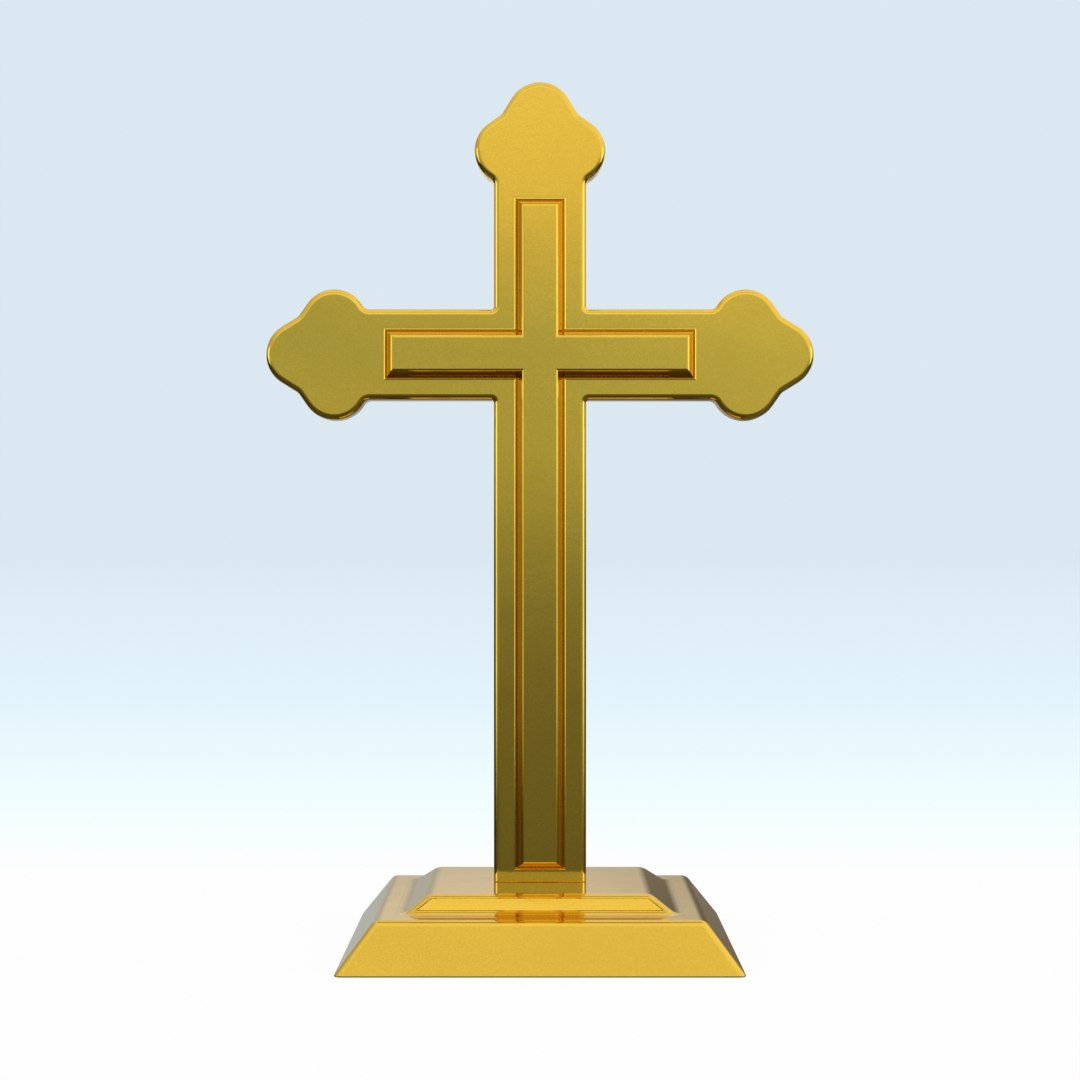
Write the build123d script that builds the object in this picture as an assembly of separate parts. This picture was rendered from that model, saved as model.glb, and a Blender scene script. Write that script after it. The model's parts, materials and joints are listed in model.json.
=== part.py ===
from build123d import *
import math
import os

os.makedirs("parts", exist_ok=True)

# Altar cross with budded ends on a two-step plinth. Sizes in millimetres.
# +Z is up, the front faces -Y. The origin is in the middle of the underside
# of the felt, where the cross stands on the altar.

# Cross
upright_width = 49.0
arm_width = 48.2
cross_depth = 19.0
arm_axis_z = 314.2
arm_reach = 109.2        # crossing to the middle of a budded end
top_reach = 108.5
lobe_radius = 17.5
lobe_out = 18.8          # middle of the bud to the end lobe
lobe_side = 17.25        # middle of the bud to each side lobe
web_out = 1.7            # crossing of two lobes to the bottom of the hollow
web_side = 2.85
web_blend = 6.0
neck_blend = 4.2
corner_blend = 1.5
edge_round = 3.0
foot_round = 0.5           # edge of the foot, where it stands on the plinth
wall = 6.5               # side wall of the hollow casting
front_wall = 5.0
foot_solid = 24.0        # solid foot below the hollow
pillar_size = 11.0

# Back cover
cover_thickness = 2.5
cover_margin = 4.0       # outline of the cross to the seam
cover_screw = 4.0
cover_screw_length = 10.0
stem_screws = 4          # of each kind down the stem
lowest_screw = 11.0      # above the foot of the hollow

# Raised cross on the front
raised_width = 26.4
raised_top_width = 19.4
raised_height = 8.7
raised_reach = 82.4
raised_foot_gap = 6.9    # foot of the cross to the end of the raised cross
raised_let_in = 1.0
raised_round = 3.2         # edges of the crown
raised_cove = 0.8          # hollow where the wall meets the face
raised_lip = 1.25        # foot of the wall to the edge of the let-in lip
raised_screw = 4.0
raised_screw_length = 9.0
raised_screw_head = 7.0
raised_screw_head_height = 2.6
raised_screw_inset = 22.4

# Lower plinth
lower_width = 204.6
lower_top_width = 165.8
lower_top_z = 25.35
lower_roof = 6.0
lower_wall = 6.6
rim_gap = 0.3            # rim of the casting stands clear of the altar
rim_round = 0.6
soft_edge = 3.15         # width taken off each face by a rounded edge
rim_width = 7.9          # foot of the slope to the bottom plate
plate_ledge = 4.0
corner_post = 13.0
corner_post_inset = 12.0 # edge of the bottom plate to the posts

# Upper plinth
upper_width = 138.7
upper_depth = 128.5
upper_top_width = 113.7
upper_top_depth = 105.6
upper_top_z = 34.2
upper_roof = 4.5
upper_wall = 9.5
upper_lip = 3.85         # foot of the slope to the edge of the let-in lip
upper_let_in = 1.5
foot_pad_margin = 7.0    # solid pad under the cross, beyond its foot
plinth_boss = 17.0

# Fasteners, ballast and underside
rod_size = 8.0
rod_cap = 2.5            # metal left above the rod in the foot
rod_proud = 2.35
tie_washer_size = 24.0
tie_washer_thickness = 2.0
spring_washer_size = 14.8
spring_washer_thickness = 2.0
nut_flats = 13.0
nut_height = 6.5
dowel_size = 6.0
dowel_length = 14.0
dowel_inset = 8.5
plinth_screw = 6.0
plinth_screw_head = 10.0
plinth_screw_head_height = 4.0
plinth_screw_cap = 3.0   # metal left above the hole
plinth_screw_inset = 17.3
plinth_washer_size = 12.0
plinth_washer_thickness = 1.6
ballast_gap = 1.5        # to the corner posts
ballast_nut_gap = 8.0    # round the tie nut
ballast_thickness = 8.0
ballast_screw_inset = 14.0
plate_thickness = 2.5
felt_thickness = 1.6
plate_screw = 4.0
plate_screw_length = 8.0

# Clearances
seam = 0.05              # around a let-in piece
slip = 0.05              # around a screw in its thread and a dowel in its hole
free_hole = 0.5          # around a screw that passes through
felt_margin = 0.4
hole_spare = 0.6         # a blind hole is deeper than what goes in it

front_y = -cross_depth / 2
back_y = cross_depth / 2
hollow_front_y = front_y + front_wall
hollow_back_y = back_y - cover_thickness
foot_z = upper_top_z
hollow_foot_z = foot_z + foot_solid
raised_foot_z = foot_z + raised_foot_gap
upper_foot_z = lower_top_z - upper_let_in
lower_roof_z = lower_top_z - lower_roof
plate_top_z = felt_thickness + plate_thickness
plate_width = lower_width - 2 * rim_width
corner_post_span = plate_width - 2 * corner_post_inset
stem_pitch = (arm_axis_z - hollow_foot_z - lowest_screw) / (stem_screws - 0.5)
raised_screw_reach = raised_reach - raised_screw_inset
dowel_span = upright_width - 2 * dowel_inset
foot_pad_width = upright_width + 2 * foot_pad_margin
foot_pad_depth = cross_depth + 2 * foot_pad_margin
plinth_screw_span_x = upper_top_width - 2 * plinth_screw_inset
plinth_screw_span_y = upper_top_depth - 2 * plinth_screw_inset
plinth_seat_z = lower_roof_z - plinth_washer_thickness
plinth_screw_length = upper_top_z - plinth_screw_cap - hole_spare - plinth_seat_z
ballast_width = corner_post_span - corner_post - 2 * ballast_gap
ballast_opening = nut_flats + 2 * ballast_nut_gap
ballast_screw_reach = ballast_width / 2 - ballast_screw_inset
nut_top_z = lower_roof_z - tie_washer_thickness - spring_washer_thickness
rod_end_z = nut_top_z - nut_height - rod_proud
rod_top_z = hollow_foot_z - rod_cap


def soft_radius(turn):
    """Radius that takes soft_edge off both faces where they turn by this angle."""
    return soft_edge / math.tan(math.radians(turn) / 2)


def slope_angle(run, rise):
    """Angle of a slope above the level."""
    return math.degrees(math.atan2(rise, run))


def hip_turn(slope_a, slope_b):
    """Angle between two neighbouring slopes of a plinth."""
    return math.degrees(math.acos(math.cos(math.radians(slope_a)) * math.cos(math.radians(slope_b))))


def frustum(width, depth, top_width, top_depth, height):
    """Block with sloping sides, standing on z = 0."""
    x0 = (width - top_width) / 2
    y0 = (depth - top_depth) / 2
    block = Wedge(width, height, depth, x0, y0, x0 + top_width, y0 + top_depth, align=Align.CENTER)
    return Pos(0, 0, height / 2) * Rot(90, 0, 0) * block


def standing_block(width, depth, bottom, top):
    return Pos(0, 0, bottom) * Box(width, depth, top - bottom, align=(Align.CENTER, Align.CENTER, Align.MIN))


def upright_pin(size, bottom, top):
    return Pos(0, 0, bottom) * Cylinder(size / 2, top - bottom, align=(Align.CENTER, Align.CENTER, Align.MIN))


def rising_cone(size, top_size, height):
    return Cone(size / 2, top_size / 2, height, align=(Align.CENTER, Align.CENTER, Align.MIN))


def screw(size, head_size, head_height, length):
    """Screw pointing up, with the underside of its head at z = 0."""
    return upright_pin(size, 0, length) + upright_pin(head_size, -head_height, 0)


def touch_point(centre, corner, turn):
    """Where a straight flank drawn from the corner touches the lobe."""
    away = corner - centre
    swing = turn * math.degrees(math.acos(lobe_radius / away.length))
    return centre + away.normalized().rotate(Axis.Z, swing) * lobe_radius


def hollow_bottom(side):
    """Bottom of the hollow between the end lobe and a side lobe."""
    across = Vector(side * lobe_side, lobe_out)
    reach = math.sqrt(lobe_radius**2 - (across.length / 2)**2)
    crossing = across / 2 + Vector(side * lobe_out, lobe_side).normalized() * reach
    return crossing + Vector(side * web_side, web_out)


def bud():
    """Three round lobes with a webbed hollow between neighbours, pointing up."""
    out = Vector(0, lobe_out)
    shape = Pos(0, lobe_out) * Circle(lobe_radius)
    for side in (-1, 1):
        beside = Vector(side * lobe_side, 0)
        notch = hollow_bottom(side)
        on_out = touch_point(out, notch, side)
        on_beside = touch_point(beside, notch, -side)
        shape += Pos(beside.X, 0) * Circle(lobe_radius)
        shape += make_face(Polyline(out, on_out, notch, on_beside, beside, (0, 0), close=True))
    return shape


def bud_places():
    """Middle of each budded end and how far it is turned from upright."""
    return [(0, top_reach, 0), (-arm_reach, 0, 90), (arm_reach, 0, -90)]


def near(vertex, points):
    spot = Vector(vertex.X, vertex.Y)
    return any((spot - point).length < 0.05 for point in points)


def cross_outline():
    """Outline of the cross with the crossing at the origin."""
    drop = arm_axis_z - foot_z
    shape = Rectangle(2 * arm_reach, arm_width)
    shape += Pos(0, (top_reach - drop) / 2) * Rectangle(upright_width, top_reach + drop)
    for x, y, turn in bud_places():
        shape += Pos(x, y) * Rot(0, 0, turn) * bud()
    notches = []
    necks = []
    for x, y, turn in bud_places():
        half = upright_width / 2 if turn == 0 else arm_width / 2
        neck_drop = math.sqrt(lobe_radius**2 - (half - lobe_side)**2)
        for side in (-1, 1):
            notches.append(Vector(x, y) + hollow_bottom(side).rotate(Axis.Z, turn))
            necks.append(Vector(x, y) + Vector(side * half, -neck_drop).rotate(Axis.Z, turn))
    corners = [Vector(sx * upright_width / 2, sy * arm_width / 2) for sx in (-1, 1) for sy in (-1, 1)]
    for points, radius in ((notches, web_blend), (necks, neck_blend), (corners, corner_blend)):
        picked = [vertex for vertex in shape.vertices() if near(vertex, points)]
        shape = fillet(picked, radius)
    return shape


def stand_up(outline, y_from, y_to):
    """Extrude an outline drawn about the crossing, from one depth to another."""
    sketch = Pos(0, y_to, arm_axis_z) * Rot(90, 0, 0) * outline
    return extrude(sketch, amount=y_to - y_from, dir=(0, -1, 0))


def above(shape, z):
    """Keep what lies above this height."""
    span = 4 * arm_reach
    return shape - standing_block(span, span, z - span, z)


def cover_screw_places():
    places = [(x, y) for x, y, turn in bud_places()]
    return places + [(0, -step * stem_pitch) for step in range(stem_screws)]


def raised_screw_places():
    places = [(-raised_screw_reach, 0), (raised_screw_reach, 0), (0, raised_screw_reach)]
    return places + [(0, -(step + 0.5) * stem_pitch) for step in range(stem_screws)]


def facing_back(places, y, item):
    """Copies of an item that points up, turned to point from y towards the front."""
    return [Pos(x, y, arm_axis_z + z) * Rot(90, 0, 0) * item for x, z in places]


def raised_bars(grow, y_from, y_to):
    """Plain Latin cross the size of the raised cross, grown by a margin."""
    top = raised_reach + grow
    bottom = raised_foot_z - arm_axis_z - grow
    width = raised_width + 2 * grow
    shape = Rectangle(2 * top, width) + Pos(0, (top + bottom) / 2) * Rectangle(width, top - bottom)
    return stand_up(shape, y_from, y_to)


def cover_blank(margin, y_from, y_to, bottom_z):
    return above(stand_up(offset(cross_outline(), -margin), y_from, y_to), bottom_z)


def outline_edges(solid):
    """Edges round the front and back faces, apart from those at the foot."""
    faces = solid.faces().filter_by(Axis.Y).sort_by(Axis.Y)
    edges = faces[0].edges() + faces[-1].edges()
    return [edge for edge in edges if edge.center().Z > foot_z + 1]


def cross_body():
    body = stand_up(cross_outline(), front_y, back_y)
    body = fillet(outline_edges(body), edge_round)
    body = fillet(body.faces().sort_by(Axis.Z)[0].outer_wire().edges(), foot_round)
    ledge_z = hollow_foot_z - (wall - cover_margin)
    body -= cover_blank(cover_margin, hollow_back_y, back_y + 1, ledge_z)
    hollow = cover_blank(wall, hollow_front_y, hollow_back_y, hollow_foot_z)
    pillar = upright_pin(pillar_size, 0, hollow_back_y - hollow_front_y)
    for item in facing_back(cover_screw_places(), hollow_back_y, pillar):
        hollow -= item
    body -= hollow
    thread = upright_pin(cover_screw + 2 * slip, -1, cover_screw_length - cover_thickness + hole_spare)
    for item in facing_back(cover_screw_places(), hollow_back_y, thread):
        body -= item
    body -= raised_bars(raised_lip + seam, front_y - 1, front_y + raised_let_in)
    through = upright_pin(raised_screw + 2 * free_hole, -1, front_wall + 1)
    for item in facing_back(raised_screw_places(), hollow_front_y, through):
        body -= item
    body -= upright_pin(rod_size + 2 * slip, foot_z - 1, rod_top_z + hole_spare)
    socket_top = foot_z + dowel_length / 2 + hole_spare
    for x in (-dowel_span / 2, dowel_span / 2):
        body -= Pos(x, 0, 0) * upright_pin(dowel_size + 2 * slip, foot_z - 1, socket_top)
    return body


def sunk_head_size(size):
    return 2 * size


def sunk_head_height(size):
    return 0.5 * size


def sunk_screw(size, length):
    """Screw pointing up, its head level with z = 0."""
    return upright_pin(size, 0, length) + rising_cone(sunk_head_size(size), size, sunk_head_height(size))


def sunk_hole(size, thickness):
    """Hole through a plate for a screw with a sunk head, head side at z = 0."""
    seat = rising_cone(sunk_head_size(size) + 2 * slip, size + 2 * slip, sunk_head_height(size))
    return upright_pin(size + 2 * slip, -1, thickness + 1) + seat


def back_cover():
    ledge_z = hollow_foot_z - (wall - cover_margin) + seam
    cover = cover_blank(cover_margin + seam, hollow_back_y, back_y, ledge_z)
    for item in facing_back(cover_screw_places(), back_y, sunk_hole(cover_screw, cover_thickness)):
        cover -= item
    return cover


def back_cover_screws():
    item = sunk_screw(cover_screw, cover_screw_length)
    return facing_back(cover_screw_places(), back_y, item)


def raised_cross():
    """Cross with mitred sloping walls, a cove at its foot and a lip let into the face."""
    drop = arm_axis_z - raised_foot_z
    taper = raised_width - raised_top_width
    length = raised_reach + drop
    upright = frustum(raised_width, length, raised_top_width, length - taper, raised_height)
    arms = frustum(2 * raised_reach, raised_width, 2 * raised_reach - taper, raised_top_width, raised_height)
    raised = Pos(0, (raised_reach - drop) / 2) * upright + arms
    raised = Pos(0, front_y, arm_axis_z) * Rot(90, 0, 0) * raised
    raised += raised_bars(raised_lip, front_y, front_y + raised_let_in)
    crown_y = front_y - raised_height
    foot = raised.edges().filter_by(GeomType.LINE)
    foot = [edge for edge in foot if abs(edge.center().Y - front_y) < 0.01 and on_wall(edge)]
    raised = fillet(foot, raised_cove)
    crown = [edge for edge in raised.edges() if abs(edge.center().Y - crown_y) < 0.01]
    raised = fillet(crown, raised_round)
    depth = raised_screw_length - (front_wall - raised_let_in) + hole_spare
    thread = upright_pin(raised_screw + 2 * slip, -1, depth)
    for item in facing_back(raised_screw_places(), front_y + raised_let_in, thread):
        raised -= item
    return raised


def on_wall(edge):
    """True for an edge at the foot of a wall of the raised cross."""
    middle = edge.center()
    side = raised_width / 2
    x = abs(middle.X)
    z = middle.Z - arm_axis_z
    ends = (raised_reach, raised_reach, arm_axis_z - raised_foot_z)
    return any(abs(value - size) < 0.01 for value, size in
               ((x, side), (abs(z), side), (x, ends[0]), (z, ends[1]), (-z, ends[2])))


def raised_cross_screws():
    item = screw(raised_screw, raised_screw_head, raised_screw_head_height, raised_screw_length)
    return facing_back(raised_screw_places(), hollow_front_y, item)


def corners(span_x, span_y):
    return [(x * span_x / 2, y * span_y / 2) for x in (-1, 1) for y in (-1, 1)]


def upper_plinth():
    rise = upper_top_z - lower_top_z
    slope_x = slope_angle((upper_width - upper_top_width) / 2, rise)
    slope_y = slope_angle((upper_depth - upper_top_depth) / 2, rise)
    slope = (slope_x + slope_y) / 2
    body = Pos(0, 0, lower_top_z) * frustum(upper_width, upper_depth, upper_top_width, upper_top_depth, rise)
    hips = [edge for edge in body.edges() if abs(edge.center().Z - (lower_top_z + rise / 2)) < 0.1]
    body = fillet(hips, soft_radius(hip_turn(slope_x, slope_y)))
    lip_x = upper_width + 2 * upper_lip
    lip_y = upper_depth + 2 * upper_lip
    body += standing_block(lip_x, lip_y, upper_foot_z, lower_top_z)
    crown = [edge for edge in body.edges() if abs(edge.center().Z - upper_top_z) < 0.01]
    body = fillet(crown, soft_radius(slope))
    foot = [edge for edge in body.edges() if abs(edge.center().Z - lower_top_z) < 0.01
            and abs(edge.center().X) < upper_width / 2 + 1 and abs(edge.center().Y) < upper_depth / 2 + 1]
    body = fillet(foot, soft_radius(slope))
    core = frustum(upper_width - 2 * upper_wall, upper_depth - 2 * upper_wall,
                   upper_top_width - upper_wall / 2, upper_top_depth - upper_wall / 2,
                   upper_top_z - upper_roof - upper_foot_z)
    core = Pos(0, 0, upper_foot_z) * core
    core -= standing_block(foot_pad_width, foot_pad_depth, upper_foot_z, upper_top_z)
    for x, y in corners(plinth_screw_span_x, plinth_screw_span_y):
        core -= Pos(x, y, 0) * upright_pin(plinth_boss, upper_foot_z, upper_top_z)
    body -= core
    body -= upright_pin(rod_size + 2 * free_hole, upper_foot_z - 1, upper_top_z + 1)
    socket_bottom = upper_top_z - dowel_length / 2
    for x in (-dowel_span / 2, dowel_span / 2):
        body -= Pos(x, 0, 0) * upright_pin(dowel_size + 2 * slip, socket_bottom, upper_top_z + 1)
    tip = upper_top_z - plinth_screw_cap
    for x, y in corners(plinth_screw_span_x, plinth_screw_span_y):
        body -= Pos(x, y, 0) * upright_pin(plinth_screw + 2 * slip, upper_foot_z - 1, tip)
    return body


def lower_plinth():
    rise = lower_top_z - rim_gap
    slope = slope_angle((lower_width - lower_top_width) / 2, rise)
    body = frustum(lower_width, lower_width, lower_top_width, lower_top_width, rise)
    body = Pos(0, 0, rim_gap) * body
    hips = [edge for edge in body.edges() if abs(edge.center().Z - (rim_gap + rise / 2)) < 0.1]
    body = fillet(hips, soft_radius(hip_turn(slope, slope)))
    crown = [edge for edge in body.edges() if abs(edge.center().Z - lower_top_z) < 0.01]
    body = fillet(crown, soft_radius(slope))
    rim = [edge for edge in body.edges() if abs(edge.center().Z - rim_gap) < 0.01]
    body = fillet(rim, rim_round)
    body -= standing_block(plate_width + 2 * seam, plate_width + 2 * seam, rim_gap - 1, plate_top_z)
    inset = 2 * lower_wall / math.sin(math.radians(slope))
    core_width = lower_width - inset
    core_top_width = lower_top_width - inset
    core = Pos(0, 0, rim_gap) * frustum(core_width, core_width, core_top_width, core_top_width, rise)
    ledge_width = plate_width - 2 * plate_ledge
    core &= standing_block(ledge_width, ledge_width, plate_top_z, lower_roof_z)
    for x, y in corners(corner_post_span, corner_post_span):
        core -= Pos(x, y, 0) * upright_pin(corner_post, plate_top_z, lower_roof_z)
    body -= core
    lip_x = upper_width + 2 * (upper_lip + seam)
    lip_y = upper_depth + 2 * (upper_lip + seam)
    body -= standing_block(lip_x, lip_y, upper_foot_z, lower_top_z + 1)
    body -= upright_pin(rod_size + 2 * free_hole, lower_roof_z - 1, lower_top_z)
    for x, y in corners(plinth_screw_span_x, plinth_screw_span_y):
        body -= Pos(x, y, 0) * upright_pin(plinth_screw + 2 * free_hole, lower_roof_z - 1, lower_top_z)
    for x, y in corners(corner_post_span, corner_post_span):
        body -= Pos(x, y, 0) * plate_screw_thread()
    return body


def tie_rod():
    return upright_pin(rod_size, rod_end_z, rod_top_z)


def ring(size, hole, bottom, top):
    return upright_pin(size, bottom, top) - upright_pin(hole, bottom - 1, top + 1)


def tie_washer():
    return ring(tie_washer_size, rod_size + 2 * free_hole, lower_roof_z - tie_washer_thickness, lower_roof_z)


def tie_spring_washer():
    washer = ring(spring_washer_size, rod_size + free_hole, nut_top_z, nut_top_z + spring_washer_thickness)
    cut = Rot(20, 0, 0) * Box(spring_washer_size, 0.8, 3 * spring_washer_thickness)
    return washer - Pos(spring_washer_size / 2, 0, nut_top_z + spring_washer_thickness / 2) * cut


def tie_nut():
    bottom = nut_top_z - nut_height
    blank = extrude(RegularPolygon(nut_flats / 2, 6, major_radius=False), amount=nut_height)
    return Pos(0, 0, bottom) * blank - upright_pin(rod_size + 2 * slip, bottom - 1, nut_top_z + 1)


def foot_dowels():
    pin = upright_pin(dowel_size, foot_z - dowel_length / 2, foot_z + dowel_length / 2)
    return [Pos(x, 0, 0) * pin for x in (-dowel_span / 2, dowel_span / 2)]


def plinth_screws():
    item = screw(plinth_screw, plinth_screw_head, plinth_screw_head_height, plinth_screw_length)
    places = corners(plinth_screw_span_x, plinth_screw_span_y)
    return [Pos(x, y, plinth_seat_z) * item for x, y in places]


def plinth_washers():
    item = ring(plinth_washer_size, plinth_screw + free_hole, plinth_seat_z, lower_roof_z)
    return [Pos(x, y, 0) * item for x, y in corners(plinth_screw_span_x, plinth_screw_span_y)]


def plate_screw_thread():
    """Threaded hole above the bottom plate."""
    tip = felt_thickness + plate_screw_length
    return upright_pin(plate_screw + 2 * slip, plate_top_z - 1, tip + hole_spare)


def ballast_screw_places():
    reach = ballast_screw_reach
    return [(-reach, 0), (reach, 0), (0, -reach), (0, reach)]


def ballast_weight():
    """Iron slab on the bottom plate, open in the middle for the tie nut."""
    top = plate_top_z + ballast_thickness
    slab = standing_block(ballast_width, ballast_width, plate_top_z, top)
    slab = fillet(slab.edges().filter_by(Axis.Z), 4)
    slab -= upright_pin(ballast_opening, plate_top_z - 1, top + 1)
    for x, y in ballast_screw_places():
        slab -= Pos(x, y, 0) * plate_screw_thread()
    return slab


def plate_screw_places():
    return corners(corner_post_span, corner_post_span) + ballast_screw_places()


def bottom_plate():
    plate = standing_block(plate_width, plate_width, felt_thickness, plate_top_z)
    for x, y in plate_screw_places():
        plate -= Pos(x, y, felt_thickness) * sunk_hole(plate_screw, plate_thickness)
    return plate


def bottom_plate_screws():
    item = sunk_screw(plate_screw, plate_screw_length)
    return [Pos(x, y, felt_thickness) * item for x, y in plate_screw_places()]


def felt_pad():
    width = plate_width - 2 * felt_margin
    pad = standing_block(width, width, 0, felt_thickness)
    return fillet(pad.edges().filter_by(Axis.Z), 2)


pieces = {
    "cross_body": cross_body,
    "back_cover": back_cover,
    "back_cover_screws": back_cover_screws,
    "raised_cross": raised_cross,
    "raised_cross_screws": raised_cross_screws,
    "upper_plinth": upper_plinth,
    "lower_plinth": lower_plinth,
    "tie_rod": tie_rod,
    "tie_washer": tie_washer,
    "tie_spring_washer": tie_spring_washer,
    "tie_nut": tie_nut,
    "foot_dowels": foot_dowels,
    "plinth_screws": plinth_screws,
    "plinth_washers": plinth_washers,
    "ballast_weight": ballast_weight,
    "bottom_plate": bottom_plate,
    "bottom_plate_screws": bottom_plate_screws,
    "felt_pad": felt_pad,
}

for node, make in pieces.items():
    made = make()
    if isinstance(made, list):
        made = Compound(children=[item.solid() for item in made])
    else:
        made = made.solid()
    export_step(made, f"parts/{node}.step")
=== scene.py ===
import bmesh
import bpy
import json
import math
from mathutils import Matrix, Vector


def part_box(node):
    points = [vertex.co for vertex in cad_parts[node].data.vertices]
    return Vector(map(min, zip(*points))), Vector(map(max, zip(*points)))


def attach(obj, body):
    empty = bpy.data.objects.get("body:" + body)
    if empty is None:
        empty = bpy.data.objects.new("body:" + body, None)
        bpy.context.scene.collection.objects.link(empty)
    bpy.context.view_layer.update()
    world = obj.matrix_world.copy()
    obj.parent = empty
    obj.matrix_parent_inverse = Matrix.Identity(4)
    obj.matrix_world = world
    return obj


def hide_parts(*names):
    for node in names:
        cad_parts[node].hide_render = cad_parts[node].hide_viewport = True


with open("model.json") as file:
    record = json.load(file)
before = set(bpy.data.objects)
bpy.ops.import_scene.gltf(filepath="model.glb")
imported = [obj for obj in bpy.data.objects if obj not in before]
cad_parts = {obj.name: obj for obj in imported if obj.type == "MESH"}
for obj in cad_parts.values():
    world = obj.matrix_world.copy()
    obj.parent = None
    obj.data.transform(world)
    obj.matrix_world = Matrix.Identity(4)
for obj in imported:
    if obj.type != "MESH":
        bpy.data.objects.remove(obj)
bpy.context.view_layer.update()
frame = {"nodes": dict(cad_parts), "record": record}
scene = bpy.context.scene
scene.view_settings.view_transform = "Standard"


# ---------------------------------------------------------------- shader words

class Wire:
    """One socket of a node tree, with the arithmetic the finishes need."""

    def __init__(self, tree, socket):
        self.tree = tree
        self.socket = socket

    def math(self, kind, *others):
        return reckon(self.tree, kind, self, *others)

    def __add__(self, other):
        return self.math("ADD", other)

    def __sub__(self, other):
        return self.math("SUBTRACT", other)

    def __rsub__(self, other):
        return reckon(self.tree, "SUBTRACT", other, self)

    def __mul__(self, other):
        return self.math("MULTIPLY", other)

    def __rtruediv__(self, other):
        return reckon(self.tree, "DIVIDE", other, self)

    __radd__ = __add__
    __rmul__ = __mul__


def join(tree, value, slot):
    """Set a socket to a number or colour, or link a wire to it."""
    if isinstance(value, Wire):
        tree.links.new(value.socket, slot)
    else:
        slot.default_value = value


def reckon(tree, kind, *values):
    """One step of arithmetic on wires and numbers."""
    node = tree.nodes.new("ShaderNodeMath")
    node.operation = kind
    for slot, value in zip(node.inputs, values):
        join(tree, value, slot)
    return Wire(tree, node.outputs[0])


class Plan:
    """A node tree, with one way to add any node to it."""

    def __init__(self, tree):
        self.tree = tree

    def add(self, kind, settings=None, inputs=None, out=0):
        """Add a node: its settings or a ramp's stops first, then its sockets."""
        node = self.tree.nodes.new(kind)
        for key, value in (settings or {}).items():
            if key == "stops":
                self.lay_stops(node.color_ramp, value)
            else:
                setattr(node, key, value)
        for key, value in (inputs or {}).items():
            join(self.tree, value, node.inputs[key])
        return Wire(self.tree, node.outputs[out])

    def lay_stops(self, ramp, stops):
        while len(ramp.elements) < len(stops):
            ramp.elements.new(1.0)
        for element, (spot, colour) in zip(ramp.elements, stops):
            element.position = spot
            element.color = (*colour, 1.0)

    def blend(self, factor, first, second):
        """Mix two colours, each a wire or three numbers."""
        first, second = (tone if isinstance(tone, Wire) else (*tone, 1.0) for tone in (first, second))
        return self.add("ShaderNodeMix", {"data_type": "RGBA"}, {0: factor, 6: first, 7: second}, out=2)

    def between(self, value, low, high, to_low=0.0, to_high=1.0, kind="SMOOTHSTEP"):
        """Map value from low...high to to_low...to_high, and hold it there."""
        inputs = {"Value": value, "From Min": low, "From Max": high, "To Min": to_low, "To Max": to_high}
        return self.add("ShaderNodeMapRange", {"interpolation_type": kind}, inputs)


class Finish(Plan):
    """A finish read in the object's own coordinates."""

    def __init__(self, name):
        self.material = bpy.data.materials.new(name)
        self.material.use_nodes = True
        super().__init__(self.material.node_tree)
        self.shader = self.tree.nodes["Principled BSDF"]
        self.place = self.add("ShaderNodeTexCoord", out="Object")

    def set(self, **sockets):
        for name, value in sockets.items():
            join(self.tree, value, self.shader.inputs[name.replace("_", " ")])

    def noise(self, scale, detail=3.0, rough=0.5, place=None, twist=0.0):
        inputs = {"Vector": place or self.place, "Scale": scale, "Detail": detail, "Roughness": rough,
                  "Distortion": twist}
        return self.add("ShaderNodeTexNoise", inputs=inputs)

    def stretched(self, scale, turn=(0.0, 0.0, 0.0)):
        inputs = {"Vector": self.place, "Scale": scale, "Rotation": turn}
        return self.add("ShaderNodeMapping", inputs=inputs)

    def bump(self, height, depth, strength=1.0, under=None):
        inputs = {"Height": height, "Distance": depth, "Strength": strength}
        if under:
            inputs["Normal"] = under
        return self.add("ShaderNodeBump", inputs=inputs)


# ---------------------------------------------------------------- finishes

BRIGHT_BRASS = (0.83, 0.535, 0.064)
DEEP_BRASS = (0.795, 0.503, 0.057)
DULL_BRASS = (0.71, 0.44, 0.046)
SPECKED_BRASS = (0.735, 0.468, 0.050)
SWELL_DEPTH = 0.00006        # long waves left by the polishing wheel
PEEL_DEPTH = 0.000012        # fine ripple of the lacquer
GRAIN_DEPTH = 0.0000022      # buffing grain

DARK_ZINC = (0.50, 0.51, 0.53)
LIGHT_ZINC = (0.66, 0.67, 0.68)
ROLLED_ZINC = (0.42, 0.43, 0.45)

DARK_IRON = (0.035, 0.035, 0.037)
LIGHT_IRON = (0.085, 0.084, 0.083)
RUST = (0.13, 0.055, 0.025)

DARK_GREEN = (0.006, 0.040, 0.018)
LIGHT_GREEN = (0.022, 0.105, 0.050)
CLOUDED_GREEN = (0.012, 0.060, 0.030)


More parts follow.
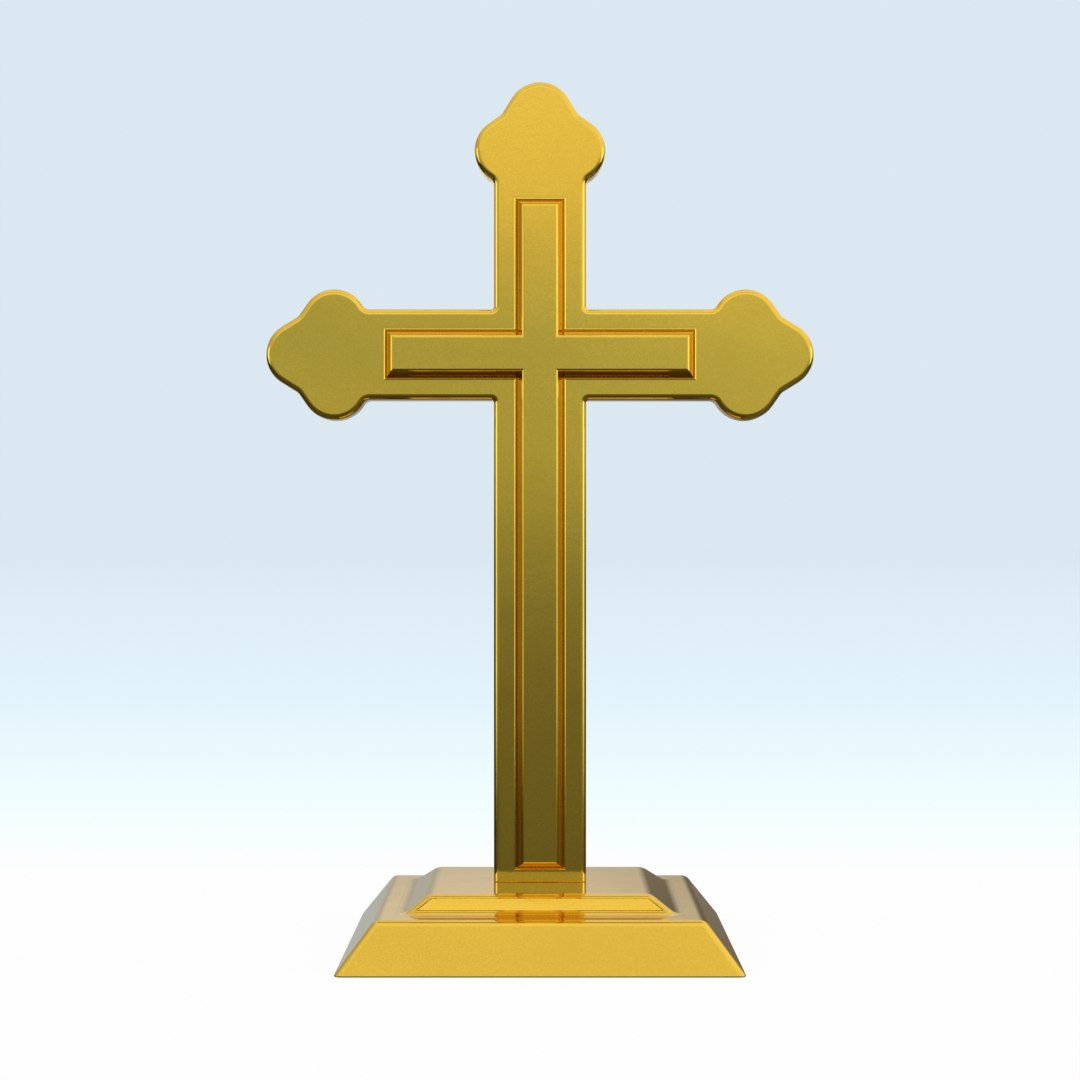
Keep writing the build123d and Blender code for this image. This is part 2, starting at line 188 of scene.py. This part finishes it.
def polished_brass():
    """Polished, lacquered brass: fine buffing grain, hairline marks, a trace of tarnish."""
    f = Finish("polished_brass")
    swell = f.noise(42.0, 2.0, 0.45)
    peel = f.noise(290.0, 3.0, 0.6)
    grain = f.noise(1150.0, 2.0, 0.55)
    speck = f.noise(1300.0, 3.0, 0.65)
    cloud = f.noise(22.0, 4.0, 0.55)
    hairs = f.noise(1.0, 3.0, 0.6, f.stretched((260.0, 260.0, 5200.0), (0.5, 0.2, 0.3)))
    marks = f.between(hairs, 0.66, 0.76)
    dull = f.between(f.noise(60.0, 5.0, 0.65), 0.52, 0.78)
    colour = f.blend(f.between(cloud, 0.35, 0.7), BRIGHT_BRASS, DEEP_BRASS)
    colour = f.blend(dull * 0.25, colour, DULL_BRASS)
    colour = f.blend(f.between(speck, 0.36, 0.64), SPECKED_BRASS, colour)
    f.set(Base_Color=colour, Metallic=1.0)
    f.set(Roughness=0.045 + dull * 0.04 + grain * 0.03 + marks * 0.05)
    waves = f.bump(swell, SWELL_DEPTH)
    peeled = f.bump(peel, PEEL_DEPTH, under=waves)
    f.set(Normal=f.bump(grain, GRAIN_DEPTH, under=peeled))
    return f.material


def zinc_plate():
    """Bright zinc plate on steel, with its faint crystals and rolling lines."""
    f = Finish("zinc_plate")
    inputs = {"Vector": f.place, "Scale": 220.0}
    crystals = f.add("ShaderNodeTexVoronoi", {"feature": "F1"}, inputs, out="Color")
    shade = f.add("ShaderNodeSeparateColor", inputs={"Color": crystals})
    lines = f.noise(1.0, 3.0, 0.6, f.stretched((40.0, 4000.0, 40.0)))
    colour = f.blend(shade, DARK_ZINC, LIGHT_ZINC)
    f.set(Base_Color=f.blend(lines * 0.3, colour, ROLLED_ZINC), Metallic=1.0)
    f.set(Roughness=0.26 + shade * 0.10 + lines * 0.10, Normal=f.bump(lines, 0.00003, 0.5))
    return f.material


def cast_iron():
    """Grey iron as cast: pitted, dark, with a trace of rust in the hollows."""
    f = Finish("cast_iron")
    pits = f.noise(420.0, 6.0, 0.7)
    patches = f.between(f.noise(24.0, 5.0, 0.6), 0.5, 0.75)
    colour = f.blend(pits, DARK_IRON, LIGHT_IRON)
    f.set(Base_Color=f.blend(patches * 0.4, colour, RUST), Metallic=0.6)
    f.set(Roughness=0.62 + pits * 0.25, Normal=f.bump(pits, 0.0004, 0.7))
    return f.material


def green_felt():
    """Pressed wool felt: short tangled fibres, a little fluff and uneven dye."""
    f = Finish("green_felt")
    lay_one = f.noise(1.0, 4.0, 0.7, f.stretched((700.0, 2600.0, 700.0), (0.0, 0.0, 0.6)), 1.5)
    lay_two = f.noise(1.0, 4.0, 0.7, f.stretched((2600.0, 700.0, 700.0), (0.0, 0.0, 0.9)), 1.5)
    cloud = f.noise(40.0, 4.0, 0.6)
    fibre = lay_one * 0.5 + lay_two * 0.5
    colour = f.blend(f.between(fibre, 0.35, 0.65), DARK_GREEN, LIGHT_GREEN)
    colour = f.blend(f.between(cloud, 0.3, 0.75) * 0.5, colour, CLOUDED_GREEN)
    f.set(Base_Color=colour, Roughness=0.9 + fibre * 0.1, Normal=f.bump(fibre, 0.0005, 0.8))
    f.set(Sheen_Weight=0.12, Sheen_Roughness=0.5, Specular_IOR_Level=0.2)
    return f.material


finishes = {"gilt_brass": polished_brass(), "zinc_steel": zinc_plate(), "raw_iron": cast_iron(),
            "green_felt": green_felt()}

for part in frame["record"]["subparts"]:
    node = frame["nodes"][part["node"]]
    for slot in node.material_slots:
        slot.material = finishes[part["material_slot"]]


# ---------------------------------------------------------------- new pieces

TOUCHING = 1e-6          # corners closer than this are one corner
LEVEL = 1e-7             # heights closer than this are one height
CENTRE = (0.0, 0.0, 0.0)


def placed(name, bm, material):
    """Turn a finished bmesh into an object of the scene."""
    mesh = bpy.data.meshes.new(name)
    bm.to_mesh(mesh)
    bm.free()
    mesh.materials.append(material)
    thing = bpy.data.objects.new(name, mesh)
    scene.collection.objects.link(thing)
    return thing


def piece(name, bm, slot_name):
    """Turn a finished bmesh into a piece that rides on the cross."""
    thing = placed(name, bm, finishes[slot_name])
    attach(thing, "root")
    return thing


def merged_copy(node):
    """A copy of a node's mesh with its loose triangles joined up."""
    bm = bmesh.new()
    bm.from_mesh(frame["nodes"][node].data)
    bmesh.ops.remove_doubles(bm, verts=bm.verts, dist=TOUCHING)
    return bm


def separate_bodies(node):
    """Lowest and highest corner of each solid in a node."""
    bm = merged_copy(node)
    left = set(bm.verts)
    bodies = []
    while left:
        reached = [left.pop()]
        for v in reached:
            near = {e.other_vert(v) for e in v.link_edges} & left
            left -= near
            reached.extend(near)
        bodies.append([Vector([pick(v.co[i] for v in reached) for i in range(3)]) for pick in (min, max)])
    bm.free()
    return sorted(bodies, key=lambda corners: (round(corners[0].z, 4), round(corners[0].x, 4)))


def points_in(geom):
    return [g for g in geom if isinstance(g, bmesh.types.BMVert)]


def open_edges_in(geom):
    return [g for g in geom if isinstance(g, bmesh.types.BMEdge) and g.is_boundary]


FELT_CORNER = 0.002      # rounding of the felt's corners in plan
FELT_WEAR = 0.0006       # rounding of its cut edge


def felt_sheet():
    """Felt glued under the bottom plate, its cut edge rounded by wear."""
    low, high = (Vector(corner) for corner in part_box("felt_pad"))
    size = high - low
    bm = bmesh.new()
    bmesh.ops.create_cube(bm, size=1.0)
    bmesh.ops.scale(bm, vec=size, verts=bm.verts)
    bmesh.ops.translate(bm, vec=(low + high) / 2, verts=bm.verts)
    upright = [e for e in bm.edges if abs(e.verts[0].co.z - e.verts[1].co.z) > size.z / 2]
    bmesh.ops.bevel(bm, geom=upright, offset=FELT_CORNER, segments=6, profile=0.5, material=-1,
                    affect="EDGES")
    rim = [e for e in bm.edges if max(v.co.z for v in e.verts) < low.z + TOUCHING
           and len({f.normal.to_tuple(2) for f in e.link_faces}) > 1]
    bmesh.ops.bevel(bm, geom=rim, offset=FELT_WEAR, segments=4, profile=0.5, material=-1, affect="EDGES")
    for face in bm.faces:
        face.smooth = abs(face.normal.z) < 0.99
    thing = piece("felt", bm, "green_felt")
    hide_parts("felt_pad")


COVER_EASE = 0.0003      # width of the eased edge of the back cover
COVER_FLAT = 0.002       # its triangles that turn less than this, in radians, are one face
COVER_SQUARE = 0.2       # and its edges that are this near to a right angle are its outline


def back_cover_plate():
    """The back cover with the edge of its outline eased, so that its joint shows as a fine line."""
    bm = merged_copy("back_cover")
    bmesh.ops.dissolve_limit(bm, angle_limit=COVER_FLAT, verts=bm.verts, edges=bm.edges)
    back_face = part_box("back_cover")[1][1]
    outline = [e for e in bm.edges if e.is_manifold and min(v.co.y for v in e.verts) > back_face - 1e-5
               and abs(e.calc_face_angle() - math.pi / 2) < COVER_SQUARE]
    bmesh.ops.bevel(bm, geom=outline, offset=COVER_EASE, segments=3, profile=0.5, material=-1,
                    affect="EDGES")
    for face in bm.faces:
        face.smooth = 0.02 < abs(face.normal.y) < 0.98
    thing = piece("eased_back_cover", bm, "gilt_brass")
    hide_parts("back_cover")


# Screws of the back cover: (height, radius) from the top of the head down to the tip.
SCREW_PROFILE = [(0.0, 0.00376), (-0.00010, 0.00388), (-0.00202, 0.00198), (-0.0095, 0.00198),
                 (-0.0100, 0.0015)]
SLOT_WIDTH = 0.0011
SLOT_DEPTH = 0.0009
SLOT_REACH = 0.96                    # half the slot's length, as a share of the head's radius
SLOT_FLOOR = (0.76, 0.4, 1.0)        # length and width of its floor, as shares of those at the top
SLOT_TURNS = [14, 71, -38, 52, -9, 84, 31]


def slotted_screw(bm, middle, turn):
    """Sunk screw with a slotted head, driven into the back, its slot left where it stopped."""
    top = SCREW_PROFILE[0][1]
    reach = top * SLOT_REACH
    head = bmesh.ops.create_circle(bm, cap_ends=True, segments=56, radius=top)["verts"]
    parts = set(head) | {e for v in head for e in v.link_edges} | {f for v in head for f in v.link_faces}
    for across, along in ((SLOT_WIDTH / 2, 1), (-SLOT_WIDTH / 2, 1), (reach, 0), (-reach, 0)):
        plane = Vector(CENTRE)
        plane[along] = across
        cut = bmesh.ops.bisect_plane(bm, geom=list(parts), dist=LEVEL, plane_co=plane,
                                     plane_no=plane.normalized())
        parts = cut["geom"]
    faces = [g for g in parts if isinstance(g, bmesh.types.BMFace)]
    rim = open_edges_in(parts)
    slot = [f for f in faces if abs(f.calc_center_median().y) < SLOT_WIDTH / 2
            and abs(f.calc_center_median().x) < top * 0.9]
    points = {v for f in faces for v in f.verts}
    bottom = points_in(bmesh.ops.extrude_face_region(bm, geom=slot)["geom"])
    bmesh.ops.delete(bm, geom=slot, context="FACES_ONLY")
    bmesh.ops.translate(bm, vec=(0.0, 0.0, -SLOT_DEPTH), verts=bottom)
    bmesh.ops.scale(bm, vec=SLOT_FLOOR, verts=bottom)
    points.update(bottom)
    for (high, wide), (low, narrow) in zip(SCREW_PROFILE, SCREW_PROFILE[1:]):
        grown = bmesh.ops.extrude_edge_only(bm, edges=rim)["geom"]
        ring = points_in(grown)
        rim = open_edges_in(grown)
        bmesh.ops.translate(bm, vec=(0.0, 0.0, low - high), verts=ring)
        bmesh.ops.scale(bm, vec=(narrow / wide, narrow / wide, 1.0), verts=ring)
        points.update(ring)
    bmesh.ops.holes_fill(bm, edges=rim, sides=0)
    points = [v for v in points if v.is_valid]
    for angle, axis in ((turn, "Z"), (-90, "X")):
        bmesh.ops.rotate(bm, cent=CENTRE, matrix=Matrix.Rotation(math.radians(angle), 3, axis), verts=points)
    bmesh.ops.translate(bm, vec=middle, verts=points)


def cover_screws():
    """The seven screws of the back cover."""
    bm = bmesh.new()
    for (low, high), turn in zip(separate_bodies("back_cover_screws"), SLOT_TURNS):
        slotted_screw(bm, Vector(((low.x + high.x) / 2, high.y, (low.z + high.z) / 2)), turn)
    bmesh.ops.recalc_face_normals(bm, faces=bm.faces)
    thing = piece("slotted_cover_screws", bm, "gilt_brass")
    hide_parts("back_cover_screws")


BAR = 0.01445            # half the width of the raised cross, over its lip
CROWN_INSET = 0.0050     # edge of the lip to where wall and crown would meet
CROWN_ROUND = 0.0016     # radius of the rounding at the crown's edge
CHAMFER = 0.00045
CHAMFER_TILT = math.radians(52)
SCREW_HOLE = 0.00205     # radius of the screw holes in its back
HOLE_SPARE = 0.0006      # depth of a hole past its screw's tip
ROUNDED = math.radians(20)           # level edges that turn less than this belong to a rounding

# From the lip over the bead into the groove at the foot of the wall: (inwards, up from the face).
BEAD = [(0.00085, 0.0), (0.00095, 0.00004), (0.00120, 0.00021), (0.00130, 0.00025), (0.00145, 0.00024),
        (0.00180, -0.00040), (0.00194, -0.00050)]


def wall_profile(height):
    """Steps over bead, groove, wall, chamfer and rounded edge up to the crown: (inwards, up)."""
    foot, drop = BEAD[-1]
    slope = math.atan2(height - drop, CROWN_INSET - foot)
    level = height - CROWN_ROUND * (1 - math.cos(CHAMFER_TILT)) - CHAMFER * math.tan(CHAMFER_TILT)
    start = foot + (level - drop) / math.tan(slope)
    end = start + CHAMFER + CROWN_ROUND * math.sin(CHAMFER_TILT)
    turns = [CHAMFER_TILT * step / 10 for step in range(11)]
    crown = [(end - CROWN_ROUND * math.sin(turn), height - CROWN_ROUND * (1 - math.cos(turn)))
             for turn in reversed(turns)]
    points = [(0.0, 0.0)] + BEAD + [(start, level)] + crown
    return [(b[0] - a[0], b[1] - a[1]) for a, b in zip(points, points[1:])]


def sink_screw_holes(bm, rim, back):
    """Close the back inside its rim, with a blind hole for each screw from behind."""
    rings = []
    for near, far in separate_bodies("raised_cross_screws"):
        circle = bmesh.ops.create_circle(bm, segments=24, radius=SCREW_HOLE)["verts"]
        bmesh.ops.rotate(bm, cent=CENTRE, matrix=Matrix.Rotation(math.radians(90), 3, "X"), verts=circle)
        bmesh.ops.translate(bm, vec=((near.x + far.x) / 2, back, (near.z + far.z) / 2), verts=circle)
        rings.append((list({e for v in circle for e in v.link_edges}), near.y - HOLE_SPARE))
    bmesh.ops.triangle_fill(bm, use_beauty=True, edges=rim + [e for ring, end in rings for e in ring])
    for ring, end in rings:
        grown = bmesh.ops.extrude_edge_only(bm, edges=ring)["geom"]
        bmesh.ops.translate(bm, vec=(0.0, end - back, 0.0), verts=points_in(grown))
        bmesh.ops.holes_fill(bm, edges=open_edges_in(grown), sides=0)


def finished_raised_cross():
    """The raised cross, its walls moulded with bead, groove and chamfer that meet in mitres."""
    low, high = (Vector(corner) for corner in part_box("raised_cross"))
    face_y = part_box("cross_body")[0][1]
    axis = high.z - high.x
    right = [(BAR, low.z), (BAR, axis - BAR), (high.x, axis - BAR), (high.x, axis + BAR),
             (BAR, axis + BAR), (BAR, high.z)]
    outline = right + [(-x, z) for x, z in reversed(right)]
    bm = bmesh.new()
    back = bm.faces.new([bm.verts.new((x, high.y, z)) for x, z in outline])
    made = bmesh.ops.extrude_face_region(bm, geom=[back])["geom"]
    crown = next(g for g in made if isinstance(g, bmesh.types.BMFace))
    bmesh.ops.translate(bm, vec=(0.0, face_y - high.y, 0.0), verts=crown.verts)
    crown.normal_update()
    for inwards, up in wall_profile(face_y - low.y):
        bmesh.ops.inset_region(bm, faces=[crown], thickness=inwards, depth=up, use_even_offset=True)
    rim = list(back.edges)
    bmesh.ops.delete(bm, geom=[back], context="FACES_ONLY")
    sink_screw_holes(bm, rim, high.y)
    bmesh.ops.recalc_face_normals(bm, faces=bm.faces)
    for face in bm.faces:
        face.smooth = True
    for edge in bm.edges:
        level = abs(edge.verts[0].co.y - edge.verts[1].co.y) < LEVEL
        edge.smooth = level and edge.calc_face_angle(0.0) < ROUNDED
    thing = piece("finished_raised_cross", bm, "gilt_brass")
    evened = thing.modifiers.new("evened", "WEIGHTED_NORMAL")
    evened.weight = 100
    evened.keep_sharp = True
    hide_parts("raised_cross")


felt_sheet()
back_cover_plate()
cover_screws()
finished_raised_cross()


# ---------------------------------------------------------------- studio

EYE = Vector((0.0, -1.2823, 0.21567))
PALE = (0.708, 0.807, 0.879)                 # backdrop
EVEN_LIGHT = (0.80, 0.80, 0.80)              # light of the world on matt surfaces
FLOOR_GLOW = 0.92                            # the rest of the floor's brightness is its light and shade
FLOOR_REACH = 60.0

# Floor colour by 1 / (metres from the eye): far away first, close by last.
FLOOR_STOPS = [(0.0, PALE), (0.039, (0.716, 0.823, 0.896)), (0.116, (0.745, 0.855, 0.930)),
               (0.309, (0.776, 0.913, 0.982)), (0.406, (0.831, 0.956, 1.0)), (0.503, (0.880, 1.0, 1.0)),
               (0.600, (0.965, 1.0, 1.0)), (0.650, (1.0, 1.0, 1.0))]


def floor_material():
    """Pale floor, white close by and as cool as the backdrop far away, with a faint shadow on it."""
    f = Finish("pale_floor")
    depth = f.add("ShaderNodeSeparateXYZ", inputs={"Vector": f.place}, out="Y")
    distance = (depth - EYE.y).math("MAXIMUM", 0.5)
    colour = f.add("ShaderNodeValToRGB", {"stops": FLOOR_STOPS}, {0: 1.0 / distance})
    f.set(Base_Color=colour, Roughness=1.0, Specular_IOR_Level=0.0)
    glow = f.add("ShaderNodeEmission", inputs={"Color": colour, "Strength": 1.0})
    seen = f.add("ShaderNodeLightPath", out="Is Camera Ray")
    lit = Wire(f.tree, f.shader.outputs[0])
    surface = f.add("ShaderNodeMixShader", inputs={0: seen * FLOOR_GLOW, 1: lit, 2: glow})
    join(f.tree, surface, f.tree.nodes["Material Output"].inputs["Surface"])
    return f.material


def ground():
    """The floor, which the metal doesn't mirror, because the room stands for it there."""
    bm = bmesh.new()
    bmesh.ops.create_grid(bm, x_segments=1, y_segments=1, size=0.5)
    bmesh.ops.scale(bm, vec=(2 * FLOOR_REACH, 2 * FLOOR_REACH, 1.0), verts=bm.verts)
    thing = placed("floor", bm, floor_material())
    thing.visible_glossy = False


# What the metal mirrors in a few directions round the cross, in degrees: 0 is in front of it, 90 on
# its right, 180 behind it. Each has its (angle up, brightness or colour) from the floor to the ceiling.
ROOM = [
    (-180, [(-90, .10), (-20, .14), (-14, .28), (0, .30), (4.5, (.67, .63, .55)),
            (15.7, (.69, .73, .82)), (30.6, (.79, .79, .93)), (47, .87), (57, .86), (60, .40), (66, .40),
            (69, .88), (90, .97)]),
    (-168, [(-90, .12), (-25, .30), (-14, (.41, .44, .42)), (0, (.40, .42, .43)), (7, (.70, .69, .64)),
            (18, .66), (35, .70), (57, .80), (61, .50), (66, .50), (70, .88), (90, .97)]),
    (-140, [(-90, .10), (-20, .10), (-6, .03), (0, .06), (7, .38), (19, .40), (28, .43), (36, .52),
            (45, .64), (58, .80), (73, .95), (90, .97)]),
    (-97, [(-90, .08), (-7, .02), (-2.3, .03), (.75, .11), (3, .28), (11, .48), (27, .46), (36, .60),
           (45, .66), (58, .80), (73, .93), (90, .97)]),
    (-43, [(-90, .08), (-14, .08), (-9.7, .12), (-5.9, .28), (-2.2, .36), (.75, .42), (3.4, .56),
           (10.8, .43), (19, .60), (26, .65), (36, .78), (58, .85), (73, .93), (90, .97)]),
    (-9, [(-90, .06), (-25, .08), (-9.6, .145), (-5.9, .165), (-2.2, (.23, .264, .30)),
          (5.1, (.454, .517, .58)), (7.0, (.398, .50, .60)), (8.5, (.409, .50, .62)),
          (10.6, (.58, .62, .66)), (13, .76), (15.7, .85), (22, (.89, .98, 1.2)),
          (31, (.94, 1.08, 1.5)), (38, (.83, .88, 1.0)), (45, .77), (58, .84), (61, .79), (68, .90),
          (90, .97)]),
    (0, [(-90, .06), (-25, .08), (-9.6, (.15, .173, .18)), (-5.9, (.17, .19, .21)),
         (-2.2, (.23, .264, .30)), (3.3, (.43, .51, .54)), (7.0, (.42, .517, .62)),
         (10.6, (.614, .654, .687)), (13, (.80, .81, .78)), (15.7, .87), (22, (.89, .98, 1.2)),
         (31, (.94, 1.08, 1.5)), (38, (.83, .88, 1.0)), (45, .77), (58, .84), (61, .79), (68, .90),
         (90, .97)]),
    (9, [(-90, .06), (-25, .08), (-9.6, .155), (-5.9, .18), (-2.2, (.24, .28, .32)),
         (5.1, (.515, .60, .687)), (7.0, (.54, .637, .73)), (8.5, (.628, .70, .778)),
         (10.6, (.70, .73, .78)), (13, .84), (15.7, .87), (22, (.89, .98, 1.2)),
         (31, (.94, 1.08, 1.5)), (38, (.83, .88, 1.0)), (45, .77), (58, .84), (61, .79), (68, .90),
         (90, .97)]),
    (43, [(-90, .13), (-14, .13), (-9.7, .21), (-5.9, .36), (-2.2, .40), (.75, .50), (3.4, .55),
          (10.8, .90), (18, .97), (28, 1.0), (45, 1.0), (58, .92), (90, .97)]),
    (97, [(-90, .12), (-12, .06), (-7, .05), (-2.3, .08), (.75, .20), (3, .45), (11, .80), (26, .93),
          (36, 1.05), (58, 1.0), (90, .97)]),
    (140, [(-90, .12), (-12, .09), (-2.3, .08), (3, (.27, .265, .22)), (7, (.43, .42, .34)),
           (14, (.46, .45, .38)), (26, .82), (36, .98), (45, .97), (58, .90), (73, .92), (90, .97)]),
    (168, [(-90, .10), (-25, .12), (-14, (.15, .115, .058)), (0, (.125, .11, .08)), (7, .43),
           (11.5, .67), (26, .76), (45, .78), (57, .80), (61, .50), (66, .50), (70, .88), (90, .97)]),
]
ROOM_GAIN = 1.18
ROOM_RADIUS = 2.3
DEGREES = 180 / math.pi

# Upright lights on both sides of the front: (from, to, colour), in degrees round the cross.
SIDE_LIGHTS = [(-82, -53, (0.96, 1.13, 1.18)), (52, 84, (1.04, 1.20, 1.25))]
LIGHT_EDGE = 4                      # softness of their upright edges
LIGHT_RISE = (-11.0, -4.0)          # they fade in over this height
LIGHT_END = (14.0, 20.0)            # and out over this one
LIGHT_LIFT = (-2.0, 4.0)            # and grow brighter over this one
LIGHT_GAIN = 1.4


def room_colour(plan, way):
    """What the metal mirrors in each direction from the middle of the room."""
    x, y, z = (plan.add("ShaderNodeSeparateXYZ", inputs={"Vector": way}, out=name) for name in "XYZ")
    lift = (z + 1) * 0.5
    turn = x.math("ARCTAN2", y * -1) * DEGREES
    rise = z.math("ARCSINE") * DEGREES

    def wall(levels):
        stops = [((math.sin(math.radians(up)) + 1) / 2, value if isinstance(value, tuple) else (value,) * 3)
                 for up, value in levels]
        return plan.add("ShaderNodeValToRGB", {"stops": stops}, {0: lift})

    walls = [(at, wall(levels)) for at, levels in ROOM]
    walls.append((180, walls[0][1]))
    colour = walls[0][1]
    for (start, before), (stop, after) in zip(walls, walls[1:]):
        colour = plan.blend(plan.between(turn, start, stop, kind="LINEAR"), colour, after)
    for start, stop, light in SIDE_LIGHTS:
        across = (plan.between(turn, start - LIGHT_EDGE, start + LIGHT_EDGE)
                  * plan.between(turn, stop - LIGHT_EDGE, stop + LIGHT_EDGE, 1.0, 0.0))
        upward = plan.between(rise, *LIGHT_RISE) * plan.between(rise, *LIGHT_END, 1.0, 0.0)
        bright = tuple(level * LIGHT_GAIN for level in light)
        glow = plan.blend(plan.between(rise, *LIGHT_LIFT), light, bright)
        colour = plan.blend(across * upward, colour, glow)
    return colour


def studio_room():
    """Round room with soft lights that only the metal sees."""
    middle = Vector((0.0, 0.0, EYE.z))
    bm = bmesh.new()
    bmesh.ops.create_uvsphere(bm, u_segments=96, v_segments=48, radius=ROOM_RADIUS)
    bmesh.ops.translate(bm, vec=middle, verts=bm.verts)
    material = bpy.data.materials.new("studio_room")
    material.use_nodes = True
    material.node_tree.nodes.clear()
    material.cycles.emission_sampling = "NONE"
    plan = Plan(material.node_tree)
    place = plan.add("ShaderNodeTexCoord", out="Object")
    offset = plan.add("ShaderNodeVectorMath", {"operation": "SUBTRACT"}, {0: place, 1: middle})
    way = plan.add("ShaderNodeVectorMath", {"operation": "NORMALIZE"}, {0: offset})
    glow = plan.add("ShaderNodeEmission", inputs={"Color": room_colour(plan, way), "Strength": ROOM_GAIN})
    output = plan.tree.nodes.new("ShaderNodeOutputMaterial")
    join(plan.tree, glow, output.inputs["Surface"])
    thing = placed("studio_room", bm, material)
    thing.visible_camera = False
    thing.visible_diffuse = False
    thing.visible_shadow = False
    thing.visible_transmission = False


def studio_world():
    """Pale backdrop for the camera and the gloss, and an even light for matt surfaces."""
    world = bpy.data.worlds.new("studio")
    scene.world = world
    world.use_nodes = True
    world.node_tree.nodes.clear()
    plan = Plan(world.node_tree)
    seen, glossy, through = (plan.add("ShaderNodeLightPath", out=f"Is {ray} Ray")
                             for ray in ("Camera", "Glossy", "Transmission"))
    shown = seen.math("MAXIMUM", glossy).math("MAXIMUM", through)
    colour = plan.blend(shown, EVEN_LIGHT, PALE)
    surface = plan.add("ShaderNodeBackground", inputs={"Color": colour, "Strength": 1.0})
    output = plan.tree.nodes.new("ShaderNodeOutputWorld")
    join(plan.tree, surface, output.inputs["Surface"])


SOFTBOX_SIDE = 1.3
SOFTBOX_PLACE = (1.386, -0.80, 0.75)         # of the right one
SOFTBOX_AIM = Vector((0.0, 0.0, 0.2))


def softbox(name, side, level):
    """Soft light of a given brightness for the matt surfaces and the floor, aimed at the cross."""
    lamp = bpy.data.lights.new(name, "AREA")
    lamp.shape = "RECTANGLE"
    lamp.size = SOFTBOX_SIDE
    lamp.size_y = SOFTBOX_SIDE
    lamp.energy = level * math.pi * SOFTBOX_SIDE * SOFTBOX_SIDE
    thing = bpy.data.objects.new(name, lamp)
    x, y, z = SOFTBOX_PLACE
    thing.location = (side * x, y, z)
    thing.rotation_euler = (SOFTBOX_AIM - Vector((side * x, y, z))).to_track_quat("-Z", "Y").to_euler()
    thing.visible_camera = False
    thing.visible_glossy = False
    scene.collection.objects.link(thing)


def camera():
    data = bpy.data.cameras.new("camera")
    data.sensor_width = 36.0
    data.lens = 80.0
    data.clip_start = 0.01
    data.clip_end = 200.0
    thing = bpy.data.objects.new("camera", data)
    thing.location = EYE
    thing.rotation_euler = (math.radians(90.0), 0.0, 0.0)
    scene.collection.objects.link(thing)
    scene.camera = thing


ground()
studio_room()
studio_world()
softbox("left_softbox", -1, 0.6)
softbox("right_softbox", 1, 0.7)
camera()
